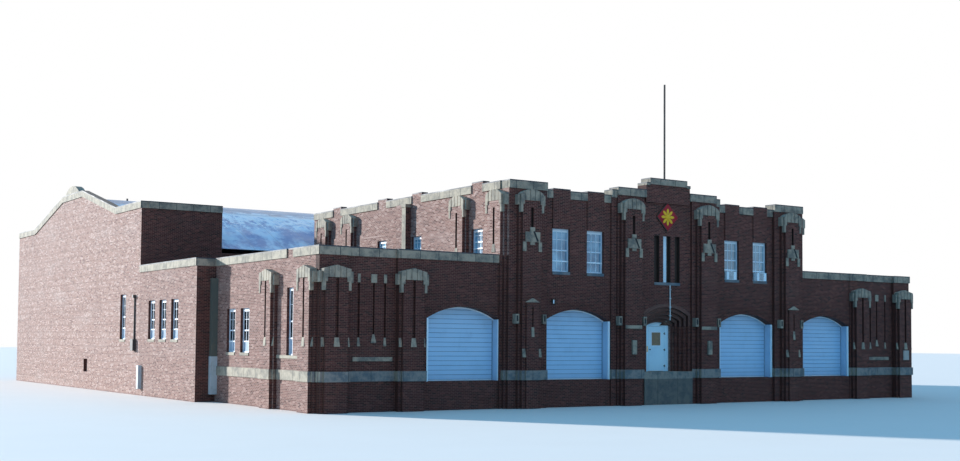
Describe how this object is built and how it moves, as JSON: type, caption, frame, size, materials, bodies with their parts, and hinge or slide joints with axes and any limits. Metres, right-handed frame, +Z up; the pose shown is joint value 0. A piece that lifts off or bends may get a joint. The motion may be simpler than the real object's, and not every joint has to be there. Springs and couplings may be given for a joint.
{
  "type": "armory building, scale model at 1:2",
  "caption": "Brick armory as a half-size model: two-storey head house with arched garage bays, one-storey wings and a vaulted drill hall.",
  "frame": {"origin": "middle of the footprint, on the lowest ground that the walls reach", "axes": "+X along the front to the right as seen from outside, +Y from the front towards the drill hall, +Z up"},
  "size_m": [19.035, 22.14, 7.55],
  "materials": {
    "brick": "matte red-brown brick",
    "limestone": "weathered limestone",
    "concrete": "bare concrete",
    "roofing": "rolled roofing",
    "roof_metal": "pale metal roofing",
    "white_paint": "white paint",
    "window_glass": "window glass",
    "red_enamel": "red enamel",
    "grey_steel": "dark grey paint"
  },
  "bodies": {
    "building": {"base_course": "limestone", "carved_stones": "limestone", "corner_duct": "grey_steel", "door_frame": "white_paint", "door_hinges": "grey_steel", "emblem_board": "red_enamel", "entrance_piers": "brick", "entrance_step": "limestone", "entrance_wall_over": "brick", "flagpole": "grey_steel", "front_wall_left": "brick", "front_wall_right": "brick", "garage_doors": "white_paint", "garage_linings": "white_paint", "ground_floor": "concrete", "hall_coping": "limestone", "hall_end_walls": "brick", "hall_front_walls": "brick", "hall_roof": "roof_metal", "hall_wall_back": "brick", "house_coping": "limestone", "house_lower_walls": "brick", "house_roof": "roofing", "house_upper_wall_left": "brick", "house_upper_wall_right": "brick", "house_wall_back": "brick", "lower_glass": "window_glass", "lower_windows": "white_paint", "outdoor_lamps": "grey_steel", "parapet_caps": "grey_steel", "portal_arch": "brick", "portal_jambs": "brick", "rear_bay_walls": "brick", "service_meter": "grey_steel", "stone_hoods": "limestone", "tower_roofs": "roofing", "tower_walls": "brick", "upper_floor": "concrete", "upper_glass": "window_glass", "upper_windows": "white_paint", "vent_pipes": "grey_steel", "wall_cabinets": "white_paint", "window_coolers": "white_paint", "window_sills": "limestone", "wing_coping": "limestone", "wing_front_left": "brick", "wing_front_right": "brick", "wing_roofs": "roofing", "wing_side_left": "brick", "wing_side_right": "brick"},
    "door": {"door_hardware": "grey_steel", "entrance_door": "white_paint"}
  },
  "joints": [
    {"name": "entrance_door_hinge", "type": "hinge", "parent": "building", "child": "door", "pos_m": [0.2855, -10.4533, 1.296], "axis": [0, 0, 1], "range_deg": [0, 100]}
  ]
}
